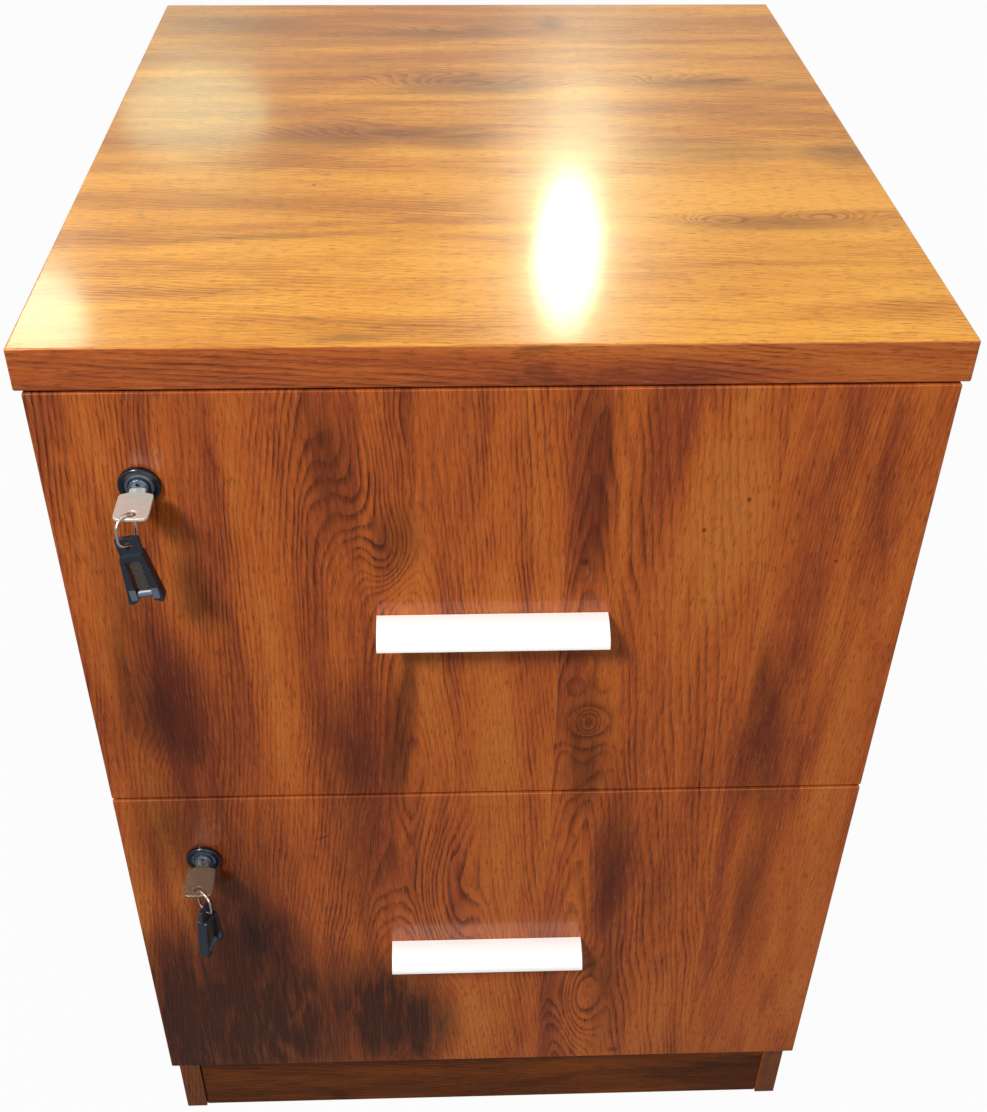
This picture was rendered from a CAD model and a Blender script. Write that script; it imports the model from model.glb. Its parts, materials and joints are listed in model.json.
"""Two-drawer filing pedestal in cherry-coloured wood-grain melamine: its looks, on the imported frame.

The boards get edge bands and softened arrises, the handles, locks, keys and rings are modelled
again in full detail, and every surface gets its finish. Metres, +Z up, the fronts face -Y.
"""

import json
import math

import bpy
from mathutils import Matrix, Vector


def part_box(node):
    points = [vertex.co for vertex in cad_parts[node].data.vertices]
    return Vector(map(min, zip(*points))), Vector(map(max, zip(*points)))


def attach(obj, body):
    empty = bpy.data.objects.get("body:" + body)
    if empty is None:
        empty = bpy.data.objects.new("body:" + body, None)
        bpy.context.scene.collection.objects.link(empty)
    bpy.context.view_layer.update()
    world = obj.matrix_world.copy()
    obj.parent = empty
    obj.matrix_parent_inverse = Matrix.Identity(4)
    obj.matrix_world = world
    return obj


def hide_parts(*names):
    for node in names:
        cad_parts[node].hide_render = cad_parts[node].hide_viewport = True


MM = 0.001
LEVELS = ("upper", "lower")
SIDES = ("left", "right")

# The photograph's viewpoint, worked out from the cabinet's corners
CAMERA_PLACE = (-0.0321, -0.8789, 1.0906)
CAMERA_TURN = (52.776, -0.464, -1.833)    # degrees
CAMERA_LENS = 44.9                        # mm, on a 36 mm high sensor
CAMERA_SHIFT = (0.0130, -0.0298)

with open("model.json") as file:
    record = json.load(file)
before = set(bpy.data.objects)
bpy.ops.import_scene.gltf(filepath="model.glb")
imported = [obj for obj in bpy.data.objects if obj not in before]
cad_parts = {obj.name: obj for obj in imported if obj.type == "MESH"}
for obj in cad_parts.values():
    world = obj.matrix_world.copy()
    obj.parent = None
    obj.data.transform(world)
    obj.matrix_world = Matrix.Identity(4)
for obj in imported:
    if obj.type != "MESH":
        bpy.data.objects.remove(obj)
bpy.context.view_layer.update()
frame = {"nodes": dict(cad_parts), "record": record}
nodes = frame["nodes"]


def linear(code):
    """A colour written as sRGB hex, as the linear RGBA that the nodes take."""
    values = [int(code[i:i + 2], 16) / 255 for i in (1, 3, 5)]
    return [v / 12.92 if v <= 0.04045 else ((v + 0.055) / 1.055) ** 2.4 for v in values] + [1.0]


def add_node(tree, kind, inputs=None, stops=None, **settings):
    """Adds one node. An input takes a value, a socket, or a node whose first output it takes."""
    node = tree.nodes.new("ShaderNode" + kind)
    for setting, value in settings.items():
        setattr(node, setting, value)
    for key, value in (inputs or {}).items():
        if isinstance(value, bpy.types.Node):
            value = value.outputs[0]
        if isinstance(value, bpy.types.NodeSocket):
            tree.links.new(value, node.inputs[key])
        else:
            node.inputs[key].default_value = value
    if stops:
        elements = node.color_ramp.elements
        while len(elements) < len(stops):
            elements.new(1.0)
        for element, (place, colour) in zip(elements, stops):
            element.position = place
            element.color = linear(colour)
    return node


def start_material(name):
    material = bpy.data.materials.new(name)
    material.use_nodes = True
    tree = material.node_tree
    return material, tree, tree.nodes["Principled BSDF"]


def sum_of_mounds(tree, grain, mounds):
    """Smooth oval mounds: (across, along, half width, half length, height, turn), mm and degrees."""
    total = None
    for across, along, wide, long, height, turn in mounds:
        local = add_node(tree, "Mapping", {
            "Vector": grain, "Location": (across * MM, along * MM, 0.0),
            "Rotation": (0.0, 0.0, math.radians(turn)), "Scale": (wide * MM, long * MM, 1.0)},
            vector_type="TEXTURE")
        fall = add_node(tree, "TexGradient", {"Vector": local}, gradient_type="SPHERICAL")
        mound = add_node(tree, "MapRange", {"Value": fall.outputs["Fac"], "To Max": height},
                         interpolation_type="SMOOTHSTEP")
        total = mound if total is None else add_node(tree, "Math", {0: total, 1: mound}, operation="ADD")
    return total


def laminate(name, across, along, tones, line, dark, staves=((0, -400, 3.2, 1.0),), knots=(), stains=(),
             shades=(), gloss=0.3, sway=10.0, curl=1.4, seed=0.0, blotch=0.0, coat=0.5):
    """Melamine-faced board: a printed wood grain under a smooth, hard resin film.

    The print is soft-edged colour with only a faint emboss, and the resin gives a clear gloss
    over a satin one. across and along are the axes of the grain on this board. staves lists where
    each printed plank starts across the board, where its growth rings have their centre, how far
    apart they lie, and how strongly they are drawn.
    """
    plank_shift = 1.37        # metres along the print, from one plank to the next
    slope = 0.1               # how fast the rings run out of the surface
    arch_width = 9 * MM       # rounds the arches where the saw passed the rings' centre
    material, tree, shader = start_material(name)
    place = add_node(tree, "TexCoord").outputs["Object"]
    axes = add_node(tree, "SeparateXYZ", {0: place})
    depth = ({"X", "Y", "Z"} - {across, along}).pop()
    flat = add_node(tree, "CombineXYZ", {0: axes.outputs[across], 1: axes.outputs[along], 2: 0.0})

    def stretched(wide, long, detail=2.0, rough=0.5, warp=0.0):
        """Noise with features about wide by long, in millimetres, along the grain."""
        scaled = add_node(tree, "VectorMath", {0: planks, 1: (1 / (wide * MM), 1 / (long * MM), 8.0)},
                          operation="MULTIPLY")
        return add_node(tree, "TexNoise", {"Vector": scaled, "Scale": 1.0, "Detail": detail,
                                           "Roughness": rough, "Distortion": warp}).outputs["Fac"]

    # Past each plank's edge, the noise is read elsewhere and the rings have other values
    ends = [add_node(tree, "Math", {0: axes.outputs[across], 1: stave[0] * MM}, operation="GREATER_THAN")
            for stave in staves[1:]]

    def by_plank(values, total=None):
        """A value that changes from plank to plank, or such steps added to what total holds."""
        if total is None:
            total = add_node(tree, "Value")
            total.outputs[0].default_value = values[0]
        for end, value, last in zip(ends, values[1:], values):
            total = add_node(tree, "Math", {0: end, 1: value - last, 2: total}, operation="MULTIPLY_ADD")
        return total

    shift = add_node(tree, "Math", {0: axes.outputs[along], 1: seed}, operation="ADD")
    shift = by_plank([plank_shift * number for number in range(len(staves))], shift)
    centre = by_plank([stave[1] * MM for stave in staves])
    per_metre = by_plank([1 / (stave[2] * MM) for stave in staves])
    depth_of_line = by_plank([stave[3] for stave in staves])
    planks = add_node(tree, "CombineXYZ", {0: axes.outputs[across], 1: shift, 2: axes.outputs[depth]})

    # Broad bands and fine fibres
    broad = stretched(30, 260, 5.0, 0.62, warp=0.3)
    fibres = add_node(tree, "Math", {0: stretched(0.8, 26, 3.0, 0.6), 1: -0.5}, operation="ADD")
    broad = add_node(tree, "Math", {0: fibres, 1: 0.34, 2: broad}, operation="MULTIPLY_ADD")
    if shades:
        broad = add_node(tree, "Math", {0: sum_of_mounds(tree, flat, shades), 1: broad}, operation="ADD")

    # Growth rings cut flat: distance from the centre, sloping along the plank, bent by knots
    drift = add_node(tree, "Math", {0: stretched(90, 330, 3.0), 1: -0.5}, operation="ADD")
    offset = add_node(tree, "Math", {0: axes.outputs[across], 1: centre}, operation="SUBTRACT")
    offset = add_node(tree, "Math", {0: drift, 1: 4 * sway * MM, 2: offset}, operation="MULTIPLY_ADD")
    squared = add_node(tree, "Math", {0: offset, 1: offset, 2: arch_width ** 2}, operation="MULTIPLY_ADD")
    rings = add_node(tree, "Math", {0: squared}, operation="SQRT")
    rings = add_node(tree, "Math", {0: axes.outputs[along], 1: slope, 2: rings}, operation="MULTIPLY_ADD")
    ripple = add_node(tree, "Math", {0: stretched(11, 42, 3.0), 1: -0.5}, operation="ADD")
    rings = add_node(tree, "Math", {0: ripple, 1: 2 * curl * MM, 2: rings}, operation="MULTIPLY_ADD")
    if knots:
        bulge = sum_of_mounds(tree, flat, knots)
        rings = add_node(tree, "Math", {0: bulge, 1: MM, 2: rings}, operation="MULTIPLY_ADD")
    count = add_node(tree, "Math", {0: rings, 1: per_metre}, operation="MULTIPLY")
    # Good and poor years: the spacing changes every few rings
    years = add_node(tree, "Math", {0: count, 1: 0.31}, operation="MULTIPLY")
    spacing = add_node(tree, "CombineXYZ", {0: years})
    uneven = add_node(tree, "TexNoise", {"Vector": spacing, "Scale": 1.0, "Detail": 1.0})
    count = add_node(tree, "Math", {0: uneven.outputs["Fac"], 1: 2.2, 2: count}, operation="MULTIPLY_ADD")
    # Each ring darkens slowly and ends sharply
    season = add_node(tree, "Math", {0: count}, operation="FRACT")
    lines = add_node(tree, "ValToRGB", {"Fac": season}, stops=[
        (0.0, "#808080"), (0.16, "#000000"), (0.45, "#303030"), (0.8, "#F0F0F0"), (0.9, "#FFFFFF")])
    strength = add_node(tree, "MapRange", {"Value": stretched(24, 150, 3.0), "From Min": 0.36,
                                           "From Max": 0.62, "To Min": 0.3, "To Max": 1.0})
    broken = add_node(tree, "MapRange", {"Value": stretched(1.6, 22, 3.0, 0.6), "From Min": 0.36,
                                         "From Max": 0.6, "To Min": 0.35, "To Max": 1.0})
    # Pale bands have fainter lines, and knots have full ones
    calm = add_node(tree, "MapRange", {"Value": broad, "From Min": 0.46, "From Max": 0.64,
                                       "To Min": 1.0, "To Max": 0.35})
    strength = add_node(tree, "Math", {0: strength, 1: calm}, operation="MULTIPLY")
    if knots:
        near = add_node(tree, "Math", {0: bulge, 1: 0.06}, operation="MULTIPLY", use_clamp=True)
        strength = add_node(tree, "Math", {0: strength, 1: near}, operation="MAXIMUM")
    lines = add_node(tree, "Math", {0: lines, 1: strength}, operation="MULTIPLY")
    lines = add_node(tree, "Math", {0: lines, 1: broken}, operation="MULTIPLY")

    # Colour: the bands, pale flecks, darker patches, and over them growth lines and pores
    bands = add_node(tree, "ValToRGB", {"Fac": broad}, stops=[
        (0.3, tones[0]), (0.43, tones[1]), (0.54, tones[2]), (0.7, tones[3])])
    flecks = add_node(tree, "MapRange", {"Value": stretched(0.9, 14, 2.0, 0.6, warp=0.2),
                                         "From Min": 0.42, "From Max": 0.3, "To Max": 0.3})
    colour = add_node(tree, "MixRGB", {"Fac": flecks, "Color1": bands.outputs["Color"],
                                       "Color2": linear(tones[4])})
    patch = add_node(tree, "MapRange", {"Value": stretched(26, 120, 5.0, 0.65, warp=0.8),
                                        "From Min": 0.56, "From Max": 0.72, "To Max": blotch})
    if stains:
        patch = add_node(tree, "Math", {0: sum_of_mounds(tree, flat, stains), 1: patch}, operation="ADD")
        # Overlapping stains darken less and less, so that their edges stay soft
        over = add_node(tree, "Math", {0: patch, 1: 1.0}, operation="ADD")
        share = add_node(tree, "Math", {0: patch, 1: over}, operation="DIVIDE")
        patch = add_node(tree, "Math", {0: share, 1: 1.5}, operation="MULTIPLY")
    for noise, least in ((stretched(12, 60, 4.0, 0.6, warp=0.6), 0.8),
                         (stretched(1.4, 40, 3.0, 0.6, warp=0.3), 0.9)):
        ragged = add_node(tree, "MapRange", {"Value": noise, "From Min": 0.38, "From Max": 0.6,
                                             "To Min": least, "To Max": 1.15})
        patch = add_node(tree, "Math", {0: patch, 1: ragged}, operation="MULTIPLY", use_clamp=True)
    patch = add_node(tree, "Math", {0: patch, 1: 0.97}, operation="MULTIPLY")
    colour = add_node(tree, "MixRGB", {"Fac": patch, "Color1": colour, "Color2": linear(dark)})
    inked = add_node(tree, "Math", {0: lines, 1: depth_of_line}, operation="MULTIPLY")
    colour = add_node(tree, "MixRGB", {"Fac": inked, "Color1": colour, "Color2": linear(line)})
    # Pores are drawn about twice their real width of 0.3 mm, so that they show
    pores = add_node(tree, "MapRange", {"Value": stretched(0.8, 9, 2.0, 0.6), "From Min": 0.56,
                                        "From Max": 0.66, "To Max": 0.5})
    colour = add_node(tree, "MixRGB", {"Fac": pores, "Color1": colour, "Color2": linear(line)})
    tree.links.new(colour.outputs[0], shader.inputs["Base Color"])

    rough = add_node(tree, "MapRange", {"Value": stretched(70, 90, 3.0), "To Min": gloss - 0.04,
                                        "To Max": gloss + 0.06})
    tree.links.new(rough.outputs[0], shader.inputs["Roughness"])
    sunk = add_node(tree, "Math", {0: lines, 1: pores}, operation="ADD")
    emboss = add_node(tree, "Bump", {"Height": sunk, "Strength": 0.12, "Distance": 0.03 * MM}, invert=True)
    tree.links.new(emboss.outputs[0], shader.inputs["Normal"])
    shader.inputs["Specular IOR Level"].default_value = 0.12
    shader.inputs["Coat Weight"].default_value = coat
    shader.inputs["Coat Roughness"].default_value = 0.1
    return material


# Marks of the print, as they lie on the boards. Staves: edge, centre of the rings, their spacing in mm
# and how strong they are. The others: across, along, half width and half length in mm, height (mm for
# knots, a share for stains and shades) and turn in degrees.
FRONT_STAVES = ((-250, -52, 3.2, 1.0), (41, 62, 4.2, 1.0), (158, 330, 2.4, 0.5))
FRONT_KNOTS = (
    (62, 460, 26, 46, 20, 0), (62, 462, 9, 14, 9, 0), (57, 510, 15, 34, 9, 14),
    (60, 415, 18, 36, 10, -8), (-70, 640, 40, 100, 18, 8), (-58, 600, 20, 44, 12, 0),
    (-35, 290, 50, 150, 26, 0), (70, 165, 28, 90, 26, 0), (-60, 120, 34, 90, 14, 0),
    (176, 410, 14, 36, 16, 0), (170, 490, 10, 30, 10, 0), (-205, 470, 24, 60, 12, 0),
)
FRONT_STAINS = (
    (-90, 655, 18, 70, 0.4, 6), (-55, 610, 22, 40, 0.4, -12), (-205, 478, 30, 56, 0.4, 0),
    (-200, 470, 64, 120, 0.3, 0), (-190, 345, 80, 70, 0.3, 0),
    (-222, 500, 9, 60, 0.5, 0), (-199, 470, 9, 44, 0.5, 4), (-188, 448, 10, 34, 0.5, 0),
    (-212, 560, 24, 100, 0.3, 0), (-58, 450, 14, 84, 0.8, -5), (-50, 500, 8, 60, 0.4, 0),
    (-92, 440, 30, 90, 0.45, 4), (-192, 155, 92, 160, 2.4, 0), (-168, 250, 46, 100, 1.3, 10),
    (-232, 130, 40, 150, 1.0, 0), (-118, 140, 60, 130, 0.8, 0), (-64, 140, 54, 88, 2.2, 0),
    (-84, 185, 44, 70, 0.6, 0), (62, 425, 24, 70, 0.5, 0), (60, 470, 20, 60, 0.3, 0),
    (56, 640, 14, 100, 0.4, 0), (172, 460, 18, 90, 0.3, -6), (182, 400, 16, 50, 0.35, 0),
    (166, 500, 8, 50, 0.3, 0), (85, 320, 20, 110, 0.5, 0), (90, 180, 14, 120, 0.35, 0),
    (-90, 340, 22, 80, 0.3, 0), (185, 300, 16, 120, 0.3, 0), (-215, 370, 30, 70, 0.4, 0),
    (52, 592, 4, 4, 0.9, 0), (142, 635, 1.8, 2.6, 1.2, 0), (119, 614, 2.2, 2.2, 0.9, 0),
    (101, 97, 6, 5, 0.9, 0), (198, 590, 1.6, 2, 0.8, 0), (-112, 357, 7, 2.2, 0.8, 25),
)
FRONT_SHADES = (
    (-5, 560, 46, 200, 0.1, 0), (130, 560, 34, 260, 0.09, 0), (225, 500, 28, 300, 0.06, 0),
    (168, 600, 12, 180, -0.08, 0), (174, 450, 19, 120, -0.24, -4),
    (-130, 600, 24, 160, 0.05, 0), (54, 600, 20, 160, -0.07, 0), (-75, 640, 40, 110, -0.05, 0),
    (-88, 440, 30, 90, -0.12, 0),
    (10, 430, 36, 90, 0.06, 0), (-205, 480, 50, 110, -0.2, 0), (-120, 330, 24, 110, 0.04, 0),
    (-10, 330, 46, 110, 0.03, 0), (140, 300, 36, 180, 0.05, 0), (0, 145, 40, 70, 0.07, 0),
    (150, 140, 40, 90, 0.06, 0), (-140, 220, 80, 160, -0.08, 0), (85, 300, 22, 140, -0.06, 0),
    (195, 640, 40, 110, -0.05, 0),
)
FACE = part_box("upper_drawer_front")[0].y
TOP_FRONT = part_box("top_panel")[0].y * 1000


def on_top(*mounds):
    """Marks on the top, given from its front edge: back from it, sideways, and their half sizes."""
    return tuple((TOP_FRONT + back, side, deep, wide, height, turn)
                 for back, side, deep, wide, height, turn in mounds)


TOP_STAINS = on_top(
    (375, 0, 28, 84, 0.75, 0), (378, 165, 24, 80, 0.5, 0), (280, -90, 34, 70, 0.5, 0),
    (276, -15, 34, 50, 0.5, 0), (250, 150, 26, 120, 0.5, 0), (245, 240, 30, 40, 0.7, 0),
    (142, 180, 24, 110, 0.25, 0), (140, 165, 14, 56, 0.3, 0), (492, -30, 20, 110, 0.55, 0),
    (515, 65, 26, 16, 0.7, 0), (512, -190, 30, 90, 0.4, 0), (128, -120, 5, 100, 0.4, -4),
    (200, -106, 2.5, 2.5, 0.8, 0), (8, -80, 8, 40, 0.45, 0), (370, 240, 16, 40, 0.35, 0),
)
TOP_SHADES = on_top(
    (150, 150, 240, 220, 0.14, 0), (60, 0, 120, 330, 0.05, 0), (520, -100, 160, 420, -0.14, 0),
    (330, -180, 160, 180, -0.14, 0), (420, 180, 60, 200, 0.04, 0), (170, 210, 200, 90, 0.05, 0),
    (142, 180, 28, 120, -0.2, 0),
)
TOP_KNOTS = on_top(
    (375, -10, 30, 110, 26, 0), (378, 170, 24, 90, 20, 0), (142, 140, 22, 46, 26, 0),
    (146, 200, 20, 50, 26, 0), (275, -60, 34, 140, 26, 0), (492, -10, 22, 120, 18, 0),
    (515, 65, 14, 30, 10, 0),
)
SIDE_STAVES = ((-300, -120, 3.0, 0.9), (-60, 10, 3.6, 1.0), (110, 180, 2.8, 0.8))
BAND_STAVES = ((0, 560, 3.4, 0.9),)

# The print's colours, from dark to light, and last that of its pale flecks
CHERRY = ("#78321A", "#98481E", "#AE5720", "#B86829", "#C4804E")
AMBER = ("#BC701E", "#D08424", "#E4982C", "#F4AC3A", "#F4BE70")
UMBER = ("#42200E", "#54290C", "#683410", "#7C4014", "#8A5230")
RUSSET = ("#552A10", "#683612", "#784016", "#8A4E20", "#9A6238")
LINE, DARK = "#4A1C0A", "#2A0E05"

# Printed melamine boards: warm red-brown under a clear film. The top is amber where light lies on it
laminate_front = laminate("cherry melamine, fronts", "X", "Z", CHERRY, LINE, DARK, FRONT_STAVES,
                          FRONT_KNOTS, FRONT_STAINS, FRONT_SHADES)
laminate_top = laminate("cherry melamine, top", "Y", "X", AMBER, "#6A3416", "#6A3C1C",
                        ((0, -600, 3.2, 0.7),), TOP_KNOTS, TOP_STAINS, TOP_SHADES, gloss=0.27,
                        seed=3.1, coat=0.22)
# Ironed-on edge bands: the same print, with the grain along the edge, and glossier
edge_band = laminate("cherry edge band", "Z", "X", CHERRY, LINE, DARK, BAND_STAVES,
                     sway=6.0, seed=7.7, blotch=0.7, coat=0.9)
side_band = laminate("cherry edge band, sides", "Z", "Y", CHERRY, LINE, DARK, BAND_STAVES,
                     sway=6.0, seed=9.1, blotch=0.7, coat=0.9)
side_edge = laminate("cherry edge band, panel fronts", "X", "Z", RUSSET, LINE, DARK,
                     ((0, 300, 2.8, 0.9),), sway=4.0, seed=15.5, blotch=0.7)
laminate_side = laminate("cherry melamine, sides", "Y", "Z", CHERRY, LINE, DARK, SIDE_STAVES,
                         seed=5.2, blotch=0.5)
# The plinth stands back in the shade and gets scuffed, so it is darker and duller
laminate_plinth = laminate("cherry melamine, plinth", "Z", "X", UMBER, "#2A1006", DARK, seed=11.4,
                           blotch=0.7, coat=0.05)
laminate_inside = laminate("cherry melamine, inside", "Y", "X", CHERRY, LINE, DARK, seed=13.9, blotch=0.7)


def plain_finish(name, colour, second, rough, metallic, grain, spread, dent):
    """A finish whose two near colours mix in a fine mottle, of the size grain in mm on each axis.

    spread is how much its roughness changes with the mottle, and dent how much its surface does.
    """
    material, tree, shader = start_material(name)
    place = add_node(tree, "TexCoord").outputs["Object"]
    scaled = add_node(tree, "VectorMath", {0: place, 1: tuple(1 / (size * MM) for size in grain)},
                      operation="MULTIPLY")
    mottle = add_node(tree, "TexNoise", {"Vector": scaled, "Scale": 1.0, "Detail": 3.0})
    mix = add_node(tree, "MixRGB", {"Fac": mottle.outputs["Fac"], "Color1": linear(colour),
                                    "Color2": linear(second)})
    tree.links.new(mix.outputs[0], shader.inputs["Base Color"])
    worn = add_node(tree, "MapRange", {"Value": mottle.outputs["Fac"], "From Min": 0.3, "From Max": 0.7,
                                       "To Min": rough - spread / 2, "To Max": rough + spread / 2})
    tree.links.new(worn.outputs[0], shader.inputs["Roughness"])
    bump = add_node(tree, "Bump", {"Height": mottle.outputs["Fac"], "Strength": dent,
                                   "Distance": 0.05 * MM})
    tree.links.new(bump.outputs[0], shader.inputs["Normal"])
    shader.inputs["Metallic"].default_value = metallic
    return material


# Satin anodising over an etched extrusion: a pale film, even, with faint drawing lines along X
anodised = plain_finish("satin anodised aluminium", "#FAFBFC", "#F0F2F4", 0.5, 0.05,
                        (60, 0.5, 0.5), 0.1, 0.12)
# Plain white board: the press plate leaves it finely pebbled and half dull
white_melamine = plain_finish("white melamine", "#E9E6DE", "#E2DED4", 0.45, 0.0,
                              (1.2, 1.2, 1.2), 0.12, 0.12)
# Pressed wood fibre, oiled: brown, flecked and dull
hardboard = plain_finish("oiled hardboard", "#A97B52", "#80583A", 0.65, 0.0,
                         (1.2, 1.2, 1.2), 0.12, 0.5)
# Rolled sections in bright zinc plating: clean grey metal, with soft streaks along the slide
zinc = plain_finish("bright zinc-plated steel", "#C3C6C9", "#AEB2B8", 0.3, 1.0, (3, 20, 3), 0.16, 0.1)
strip_steel = plain_finish("zinc-plated steel strip", "#AEB1B4", "#989CA0", 0.36, 1.0,
                           (20, 20, 2), 0.16, 0.1)
# Moulded plastics: deep and glossy from a polished mould, greyer and softer from a satin one
black_plastic = plain_finish("black ABS, polished mould", "#080C16", "#0C121E", 0.2, 0.0,
                             (2, 2, 2), 0.05, 0.02)
fob_plastic = plain_finish("black ABS, satin mould", "#161C26", "#202836", 0.36, 0.0,
                           (0.5, 0.5, 0.5), 0.12, 0.1)
hub_plastic = plain_finish("blue-grey acetal", "#4C5868", "#566272", 0.35, 0.0, (1, 1, 1), 0.12, 0.05)
# Die-cast lock plug under a dark conversion coat: half metal, half bluish film
plug_metal = plain_finish("zinc casting, black chromate", "#5C687A", "#4C586A", 0.3, 0.6,
                          (1, 1, 1), 0.1, 0.05)
# Stamped keys: nickel over tumbled steel, pale and satin, and browner where hands have dulled it
nickel = plain_finish("nickel-plated steel key", "#E6E6E0", "#D6D0C8", 0.36, 0.5, (4, 4, 4), 0.1, 0.03)
dull_nickel = plain_finish("dulled nickel-plated steel key", "#9C8C7A", "#8C7A68", 0.26, 0.85,
                           (9, 9, 9), 0.04, 0.0)
# Black nickel on a milled blade: a grey mirror
dark_nickel = plain_finish("black nickel blade", "#85817B", "#6E6A66", 0.28, 1.0, (2, 2, 2), 0.1, 0.05)
# Drawn wire, plated bright: nearly a mirror
bright_wire = plain_finish("bright nickel wire", "#EFEBE4", "#E4DFD6", 0.16, 1.0,
                           (2, 2, 2), 0.06, 0.02)


def use_finish(name, material):
    nodes[name].data.materials.clear()
    nodes[name].data.materials.append(material)


for node_name in nodes:
    if "slide" in node_name or "cage" in node_name or node_name.endswith("cam"):
        use_finish(node_name, zinc)
    elif node_name.endswith("box_bottom"):
        use_finish(node_name, hardboard)
    elif node_name.endswith(("file_frame", "strike_plate")):
        use_finish(node_name, strip_steel)
use_finish("back_panel", hardboard)


def start_clean():
    if bpy.context.object and bpy.context.object.mode == "EDIT":
        bpy.ops.object.mode_set(mode="OBJECT")
    bpy.ops.object.select_all(action="DESELECT")


def finish_piece(piece, name, node, slot, *materials, smooth=35.0):
    """Applies the place, shades, and puts the piece on its node's body in the node's stead."""
    start_clean()
    piece.select_set(True)
    bpy.context.view_layer.objects.active = piece
    bpy.ops.object.transform_apply(location=True, rotation=True, scale=True)
    bpy.ops.object.shade_smooth_by_angle(angle=math.radians(smooth))
    flat = piece.modifiers.new("flat faces stay flat", "WEIGHTED_NORMAL")
    flat.weight = 100
    flat.keep_sharp = True
    bpy.ops.object.modifier_apply(modifier=flat.name)
    piece.name = name
    piece.data.materials.clear()
    for material in materials:
        piece.data.materials.append(material)
    body = next(b for b, members in frame["record"]["behaviour"]["bodies"].items() if node in members)
    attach(piece, body)
    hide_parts(node)


def apply_modifiers(piece):
    bpy.context.view_layer.objects.active = piece
    for modifier in list(piece.modifiers):
        bpy.ops.object.modifier_apply(modifier=modifier.name)


def add_board(low, high, edge_round):
    """A board between two corners with its arrises rounded."""
    start_clean()
    bpy.ops.mesh.primitive_cube_add(size=1.0, location=(low + high) / 2, scale=high - low)
    board = bpy.context.object
    bpy.ops.object.transform_apply(location=False, rotation=False, scale=True)
    bpy.ops.object.mode_set(mode="EDIT")
    bpy.ops.mesh.select_all(action="SELECT")
    bpy.ops.mesh.bevel(offset=edge_round, segments=4, affect="EDGES")
    bpy.ops.object.mode_set(mode="OBJECT")
    return board


def band_edges(board, axis, slots):
    """All faces but the board's two broad ones take an edge band, by the axis they face."""
    for face in board.data.polygons:
        parts = [abs(face.normal.x), abs(face.normal.y), abs(face.normal.z)]
        facing = parts.index(max(parts))
        face.material_index = 0 if facing == axis else slots[facing]


def copy_of_node(node):
    """A merged copy of a CAD node's loose triangles, ready for finer edges."""
    start_clean()
    source = nodes[node]
    source.select_set(True)
    bpy.context.view_layer.objects.active = source
    bpy.ops.object.duplicate()
    piece = bpy.context.object
    piece.parent = None
    for key in list(piece.keys()):
        del piece[key]
    bpy.ops.object.mode_set(mode="EDIT")
    bpy.ops.mesh.select_all(action="SELECT")
    bpy.ops.mesh.remove_doubles(threshold=0.002 * MM)
    bpy.ops.mesh.dissolve_limited(angle_limit=math.radians(1.0))
    bpy.ops.object.mode_set(mode="OBJECT")
    return piece


def soften(piece, width, segments=2, angle=30):
    """Rounds the edges that turn by more than angle, once the piece's other modifiers are done."""
    soft = piece.modifiers.new("soft edges", "BEVEL")
    soft.width = width
    soft.segments = segments
    soft.limit_method = "ANGLE"
    soft.angle_limit = math.radians(angle)
    apply_modifiers(piece)


def dress_board(node, axis, slot, face, band, edge_round=0.5):
    """The node's own board with softened arrises, and a band on all that isn't its two faces."""
    board = copy_of_node(node)
    soften(board, edge_round * MM, 3)
    finish_piece(board, node + "_board", node, slot, face, band, smooth=50)
    band_edges(board, axis, (1, 1, 1))


def make_top():
    low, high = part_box("top_panel")
    board = add_board(low, high, 1.2 * MM)
    finish_piece(board, "top_board", "top_panel", "laminate", laminate_top, edge_band, side_band, smooth=50)
    band_edges(board, 2, {0: 2, 1: 1})


def lock_centre(level):
    """The middle of a lock, on the drawer front's face."""
    low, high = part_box(level + "_lock_housing")
    return Vector(((low.x + high.x) / 2, FACE, (low.z + high.z) / 2))


def make_front(level):
    """The drawer front, drilled for its lock."""
    low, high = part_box(level + "_drawer_front")
    board = add_board(low, high, 0.8 * MM)
    hole = lock_centre(level)
    start_clean()
    bpy.ops.mesh.primitive_cylinder_add(vertices=48, radius=9.3 * MM, depth=0.1,
                                        rotation=(math.pi / 2, 0, 0),
                                        location=(hole.x, (low.y + high.y) / 2, hole.z))
    drill = bpy.context.object
    cut = board.modifiers.new("lock hole", "BOOLEAN")
    cut.object = drill
    apply_modifiers(board)
    bpy.data.objects.remove(drill)
    finish_piece(board, level + "_front_board", level + "_drawer_front", "laminate", laminate_front,
                 edge_band, smooth=50)
    band_edges(board, 1, {0: 0, 2: 0})


make_top()
for level in LEVELS:
    make_front(level)
    for part, axis in (("left_side", 0), ("right_side", 0), ("front", 1), ("back", 1)):
        dress_board(level + "_box_" + part, axis, "box_board", white_melamine, white_melamine, 0.4)
for side in SIDES:
    dress_board(side + "_side_panel", 0, "laminate", laminate_side, side_edge)
dress_board("plinth_board", 1, "laminate", laminate_plinth, laminate_plinth)
dress_board("middle_rail", 2, "laminate", laminate_inside, edge_band)
dress_board("bottom_panel", 2, "laminate", laminate_inside, edge_band)


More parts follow.
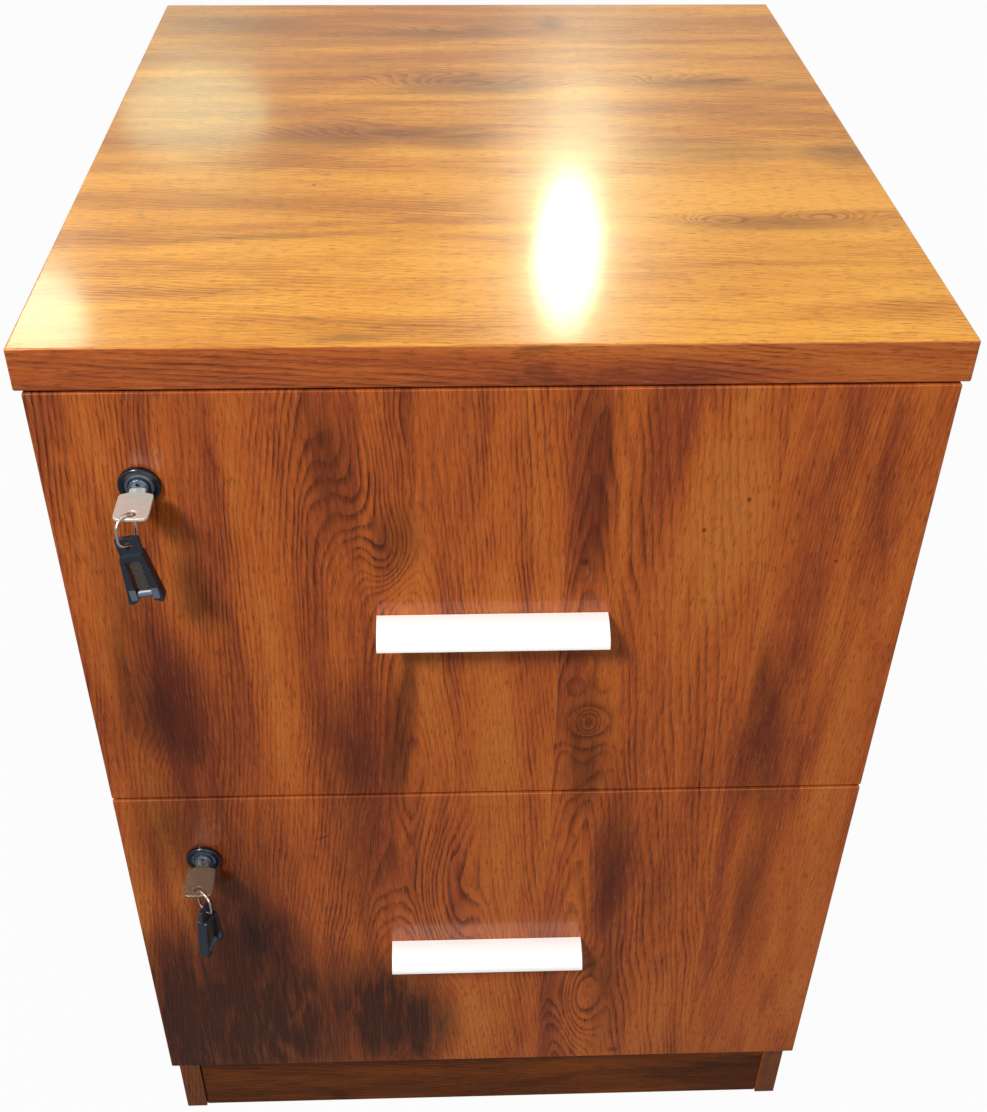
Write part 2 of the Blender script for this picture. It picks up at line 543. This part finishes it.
def make_handle(level):
    """Curved plate with a foot, drawn as a sheet and given its thickness."""
    sheet, curve_height = 2.2 * MM, 12 * MM
    low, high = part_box(level + "_handle")
    back = high.y - sheet / 2
    crown = high.z - sheet / 2
    centre_z = high.z - curve_height
    start_clean()
    bpy.ops.mesh.primitive_plane_add(size=1.0, location=((low.x + high.x) / 2, back, (low.z + high.z) / 2),
                                     rotation=(math.pi / 2, 0, 0))
    handle = bpy.context.object
    handle.scale = (high.x - low.x, high.z - low.z, 1.0)
    bpy.ops.object.transform_apply(location=True, rotation=True, scale=True)
    mesh = handle.data
    for vertex in mesh.vertices:
        if vertex.co.z > (low.z + high.z) / 2:
            vertex.co.z = crown
    bpy.ops.object.mode_set(mode="EDIT")
    bpy.ops.mesh.select_mode(type="VERT")
    bpy.ops.mesh.select_all(action="DESELECT")
    bpy.ops.object.mode_set(mode="OBJECT")
    for vertex in mesh.vertices:
        vertex.select = vertex.co.z > crown - MM
    bpy.ops.object.mode_set(mode="EDIT")
    bpy.ops.mesh.spin(steps=28, angle=math.pi / 2, center=(0.0, back, centre_z), axis=(-1.0, 0.0, 0.0))
    bpy.ops.object.mode_set(mode="OBJECT")
    # The quarter circle becomes a quarter ellipse, as deep as the handle
    reach = back - (low.y + sheet / 2)
    arc = crown - centre_z
    for vertex in mesh.vertices:
        if abs(vertex.co.y - back) > 0.01 * MM:
            vertex.co.y = back + (vertex.co.y - back) * reach / arc
    bpy.ops.object.mode_set(mode="EDIT")
    bpy.ops.mesh.select_all(action="SELECT")
    bpy.ops.mesh.remove_doubles(threshold=0.01 * MM)
    bpy.ops.mesh.normals_make_consistent(inside=False)
    bpy.ops.object.mode_set(mode="OBJECT")
    thick = handle.modifiers.new("sheet", "SOLIDIFY")
    thick.thickness = sheet
    thick.offset = 0.0
    thick.use_even_offset = True
    soften(handle, 0.5 * MM, angle=50)
    finish_piece(handle, level + "_pull", level + "_handle", "aluminium", anodised)


for level in LEVELS:
    make_handle(level)


def lathe(name, centre, profile, segments=64):
    """Turns a profile of (radius, y) round an axis along Y, starting from its first ring."""
    least = 0.001 * MM    # a pole's radius, which merges to a point
    start_clean()
    radius, y = max(profile[0][0], least), profile[0][1]
    bpy.ops.mesh.primitive_circle_add(vertices=segments, radius=radius, rotation=(math.pi / 2, 0, 0),
                                      location=(centre.x, centre.y + y, centre.z))
    piece = bpy.context.object
    bpy.ops.object.transform_apply(location=True, rotation=True, scale=True)
    bpy.ops.object.mode_set(mode="EDIT")
    bpy.ops.mesh.select_all(action="SELECT")
    for next_radius, next_y in profile[1:]:
        bpy.ops.mesh.extrude_region_move(TRANSFORM_OT_translate={"value": (0.0, next_y - y, 0.0)})
        next_radius = max(next_radius, least)
        grow = next_radius / radius
        bpy.ops.transform.resize(value=(grow, 1.0, grow),
                                 center_override=(centre.x, centre.y + next_y, centre.z))
        radius, y = next_radius, next_y
    bpy.ops.mesh.select_all(action="SELECT")
    bpy.ops.mesh.remove_doubles(threshold=0.004 * MM)
    bpy.ops.mesh.normals_make_consistent(inside=False)
    bpy.ops.object.mode_set(mode="OBJECT")
    piece.name = name
    return piece


def make_lock(level):
    """Housing with a rolled rim and a stepped well, and the plug that the key turns."""
    centre = lock_centre(level)
    bore, step, lip, rim, barrel = 6.0 * MM, 8.2 * MM, 8.6 * MM, 11.75 * MM, 9.0 * MM
    well, face, roll, inner_end = -2.5 * MM, -3.3 * MM, 1.7 * MM, 20 * MM
    profile = [(bore, inner_end), (bore, well + 0.3 * MM), (bore + 0.3 * MM, well), (step, well),
               (step + 0.1 * MM, face + 0.4 * MM), (lip, face)]
    for turn in range(0, 91, 15):
        angle = math.radians(turn)
        profile.append((rim - roll + roll * math.sin(angle), face + roll - roll * math.cos(angle)))
    profile += [(rim, -0.3 * MM), (barrel, -0.3 * MM), (barrel, inner_end), (bore, inner_end)]
    housing = lathe(level + "_lock_case", centre, profile)
    finish_piece(housing, level + "_lock_case", level + "_lock_housing", "black_plastic", black_plastic,
                 plug_metal)
    for polygon in housing.data.polygons:
        from_axis = math.hypot(polygon.center.x - centre.x, polygon.center.z - centre.z)
        polygon.material_index = 1 if from_axis < step - 0.1 * MM else 0

    tail, tail_end = 4.0 * MM, 23.8 * MM
    plug_radius, front = 5.7 * MM, -4.6 * MM
    profile = [(0.0, front), (plug_radius - 1.5 * MM, front), (plug_radius - 0.7 * MM, front + 0.2 * MM),
               (plug_radius - 0.15 * MM, front + 0.7 * MM), (plug_radius, front + 1.4 * MM),
               (plug_radius, inner_end), (tail, inner_end), (tail, tail_end), (0.0, tail_end)]
    plug = lathe(level + "_plug", centre, profile)
    start_clean()
    bpy.ops.mesh.primitive_cube_add(size=1.0, location=centre + Vector((0.0, 6 * MM, 0.0)),
                                    scale=(7.6 * MM, 21.5 * MM, 2.4 * MM))
    keyway = bpy.context.object
    start_clean()
    bpy.ops.mesh.primitive_cylinder_add(vertices=24, radius=1.25 * MM, depth=3 * MM,
                                        rotation=(math.pi / 2, 0, 0),
                                        location=centre + Vector((0.0, front, 2.7 * MM)))
    dimple = bpy.context.object
    for name, cutter in (("keyway", keyway), ("dimple", dimple)):
        cut = plug.modifiers.new(name, "BOOLEAN")
        cut.object = cutter
    apply_modifiers(plug)
    bpy.data.objects.remove(keyway)
    bpy.data.objects.remove(dimple)
    finish_piece(plug, level + "_plug", level + "_lock_plug", "black_plastic", plug_metal)


def joint_line(name):
    """Where the record puts a joint, and its axis."""
    joints = frame["record"]["behaviour"]["joints"]
    joint = next(joint for joint in joints if joint["name"] == name)
    return Vector(joint["pos_m"]), Vector(joint["axis"])


def make_ring(level):
    """Oval of bright wire: a thick torus pulled apart along the two straight strands."""
    low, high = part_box(level + "_key_ring")
    wire, bend = 0.8 * MM, 6.5 * MM
    facing = joint_line(level + "_ring_swing")[1]
    start_clean()
    bend_z = high.z - wire - bend
    bpy.ops.mesh.primitive_torus_add(major_radius=bend, minor_radius=wire,
                                     major_segments=72, minor_segments=16,
                                     location=((low.x + high.x) / 2, (low.y + high.y) / 2, bend_z),
                                     rotation=(math.pi / 2, 0.0, math.atan2(facing.x, -facing.y)))
    ring = bpy.context.object
    bpy.ops.object.transform_apply(location=True, rotation=True, scale=True)
    strand = (high.z - low.z) - 2 * (bend + wire)
    for vertex in ring.data.vertices:
        if vertex.co.z < bend_z - 0.01 * MM:
            vertex.co.z -= strand
    finish_piece(ring, level + "_oval_ring", level + "_key_ring", "nickel", bright_wire)


def make_fob(level):
    """The folding key's handle, with a blue-grey keeper of the blade's pin let into either arm."""
    fob = copy_of_node(level + "_folding_key_handle")
    soften(fob, 0.5 * MM, 3)
    pin, across = joint_line(level + "_blade_unfold")
    eye, facing = joint_line(level + "_folding_key_swing")
    up = (eye - pin).normalized()
    turn = Matrix((across, facing, up)).transposed().to_euler()
    surface, sunk = 3.5 * MM, 0.35 * MM
    for side in (-1, 1):
        start_clean()
        place = pin + across * side * 6.0 * MM + up * 1.5 * MM + facing * surface
        bpy.ops.mesh.primitive_cube_add(size=1.0, location=place, rotation=turn,
                                        scale=(4.2 * MM, 2 * sunk, 7.6 * MM))
        pocket = bpy.context.object
        cut = fob.modifiers.new("keeper's seat", "BOOLEAN")
        cut.object = pocket
        apply_modifiers(fob)
        bpy.data.objects.remove(pocket)
    finish_piece(fob, level + "_fob", level + "_folding_key_handle", "black_plastic", fob_plastic,
                 hub_plastic)
    for polygon in fob.data.polygons:
        from_pin = (polygon.center - pin).dot(facing)
        in_seat = abs(from_pin - surface + sunk) < 0.05 * MM and polygon.normal.dot(facing) > 0.9
        polygon.material_index = 1 if in_seat else 0


def make_keys(level):
    """The key in its lock, and the ring and folding key that hang from it."""
    key = copy_of_node(level + "_key")
    soften(key, 0.35 * MM, 3)
    finish_piece(key, level + "_stamped_key", level + "_key", "nickel",
                 nickel if level == "upper" else dull_nickel)
    # The bow's shoulders come closer to the lock, so that the neck shows for 4 mm less
    neck_end = FACE - 12.6 * MM
    for vertex in key.data.vertices:
        if neck_end - 5.4 * MM < vertex.co.y < neck_end + 1.2 * MM:
            vertex.co.y += 4.0 * MM
    make_fob(level)
    blade = copy_of_node(level + "_folding_key_blade")
    soften(blade, 0.2 * MM)
    finish_piece(blade, level + "_fob_blade", level + "_folding_key_blade", "nickel", dark_nickel,
                 hub_plastic, bright_wire)
    hub_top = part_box(level + "_folding_key_blade")[0].z + 5.6 * MM
    broad = max(blade.data.polygons, key=lambda polygon: polygon.area).normal.copy()
    for polygon in blade.data.polygons:
        edge = abs(polygon.normal.dot(broad)) < 0.9
        polygon.material_index = 1 if polygon.center.z < hub_top else 2 if edge else 0
    make_ring(level)


for level in LEVELS:
    make_lock(level)
    make_keys(level)


def make_stage():
    """Pale floor, lifted to white where it is seen, which keeps a part of the shadow."""
    start_clean()
    bpy.ops.mesh.primitive_plane_add(size=16.0, location=(0.0, 0.0, -0.0005))
    floor = bpy.context.object
    floor.name = "studio_floor"
    material, tree, shader = start_material("pale studio floor")
    shader.inputs["Base Color"].default_value = linear("#6E6C69")
    shader.inputs["Roughness"].default_value = 0.9
    shader.inputs["Specular IOR Level"].default_value = 0.1
    glow = add_node(tree, "Emission", {"Color": linear("#FFFFFF"), "Strength": 1.0})
    seen = add_node(tree, "Math", {0: seen_directly(tree, 0.1), 1: 0.97}, operation="MULTIPLY")
    mix = add_node(tree, "MixShader", {0: seen, 1: shader, 2: glow})
    tree.links.new(mix.outputs[0], tree.nodes["Material Output"].inputs["Surface"])
    floor.data.materials.append(material)


def seen_directly(tree, reflected):
    """1 where the camera sees the background, and less where it sees it by reflection."""
    path = add_node(tree, "LightPath")
    bounced = add_node(tree, "Math", {0: path.outputs["Is Glossy Ray"],
                                      1: path.outputs["Is Transmission Ray"]}, operation="MAXIMUM")
    return add_node(tree, "Math", {0: bounced, 1: reflected, 2: path.outputs["Is Camera Ray"]},
                    operation="MULTIPLY_ADD", use_clamp=True).outputs[0]


def add_lamp(name, place, target, size, power, colour="#FFFFFF", tall=None):
    light = bpy.data.lights.new(name, "AREA")
    light.shape = "ELLIPSE"
    light.size = size
    light.size_y = tall or size
    light.energy = power
    light.color = linear(colour)[:3]
    lamp = bpy.data.objects.new(name, light)
    bpy.context.collection.objects.link(lamp)
    lamp.location = place
    lamp.rotation_euler = (Vector(target) - Vector(place)).to_track_quat("-Z", "Y").to_euler()


def mirrored(point, distance):
    """Where a lamp hangs so that the camera sees it in the top at that point."""
    ray = Vector(point) - Vector(CAMERA_PLACE)
    ray.z = -ray.z
    return Vector(point) + ray.normalized() * distance


def make_lights():
    corner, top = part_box("top_panel")[0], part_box("top_panel")[1].z
    middle = (0.0, 0.0, 0.5)
    add_lamp("window", (-1.5, -2.1, 3.1), middle, 0.7, 130.0, "#FFFAF4")
    add_lamp("room", (0.6, -3.2, 1.2), middle, 1.8, 18.0)
    # What the top mirrors. Each is placed by where it shows, from the top's left front corner
    for name, side, back, wide, tall, power, colour in (
            ("ceiling lamp", 0.294, 0.1, 0.24, 0.54, 20.0, "#FFFFDE"),
            ("second ceiling lamp", 0.01, 0.03, 0.36, 0.36, 9.0, "#FFFFDE"),
            ("lamp's glow", 0.312, 0.25, 0.26, 0.5, 0.8, "#DCFFD0"),
            ("window pane", 0.055, 0.32, 0.55, 0.32, 3.1, "#DCFFD0"),
            ("pale wall", 0.08, 0.46, 1.3, 0.7, 0.25, "#DCFFD0")):
        point = (corner.x + side, FACE + back, top)
        add_lamp(name, mirrored(point, 4.5), point, wide, power, colour, tall)
    world = bpy.data.worlds.new("studio")
    bpy.context.scene.world = world
    world.use_nodes = True
    tree = world.node_tree
    shown = add_node(tree, "Background", {"Color": linear("#FFFFFF"), "Strength": 1.0})
    lit = add_node(tree, "Background", {"Color": linear("#FFFFFF"), "Strength": 0.24})
    mix = add_node(tree, "MixShader", {0: seen_directly(tree, 0.7), 1: lit, 2: shown})
    tree.links.new(mix.outputs[0], tree.nodes["World Output"].inputs["Surface"])


def make_camera():
    data = bpy.data.cameras.new("camera")
    data.sensor_fit = "VERTICAL"
    data.sensor_height = 36.0
    data.lens = CAMERA_LENS
    data.shift_x, data.shift_y = CAMERA_SHIFT
    camera = bpy.data.objects.new("camera", data)
    bpy.context.collection.objects.link(camera)
    camera.location = CAMERA_PLACE
    camera.rotation_euler = [math.radians(turn) for turn in CAMERA_TURN]
    bpy.context.scene.camera = camera


make_stage()
make_lights()
make_camera()
bpy.context.scene.view_settings.view_transform = "Standard"
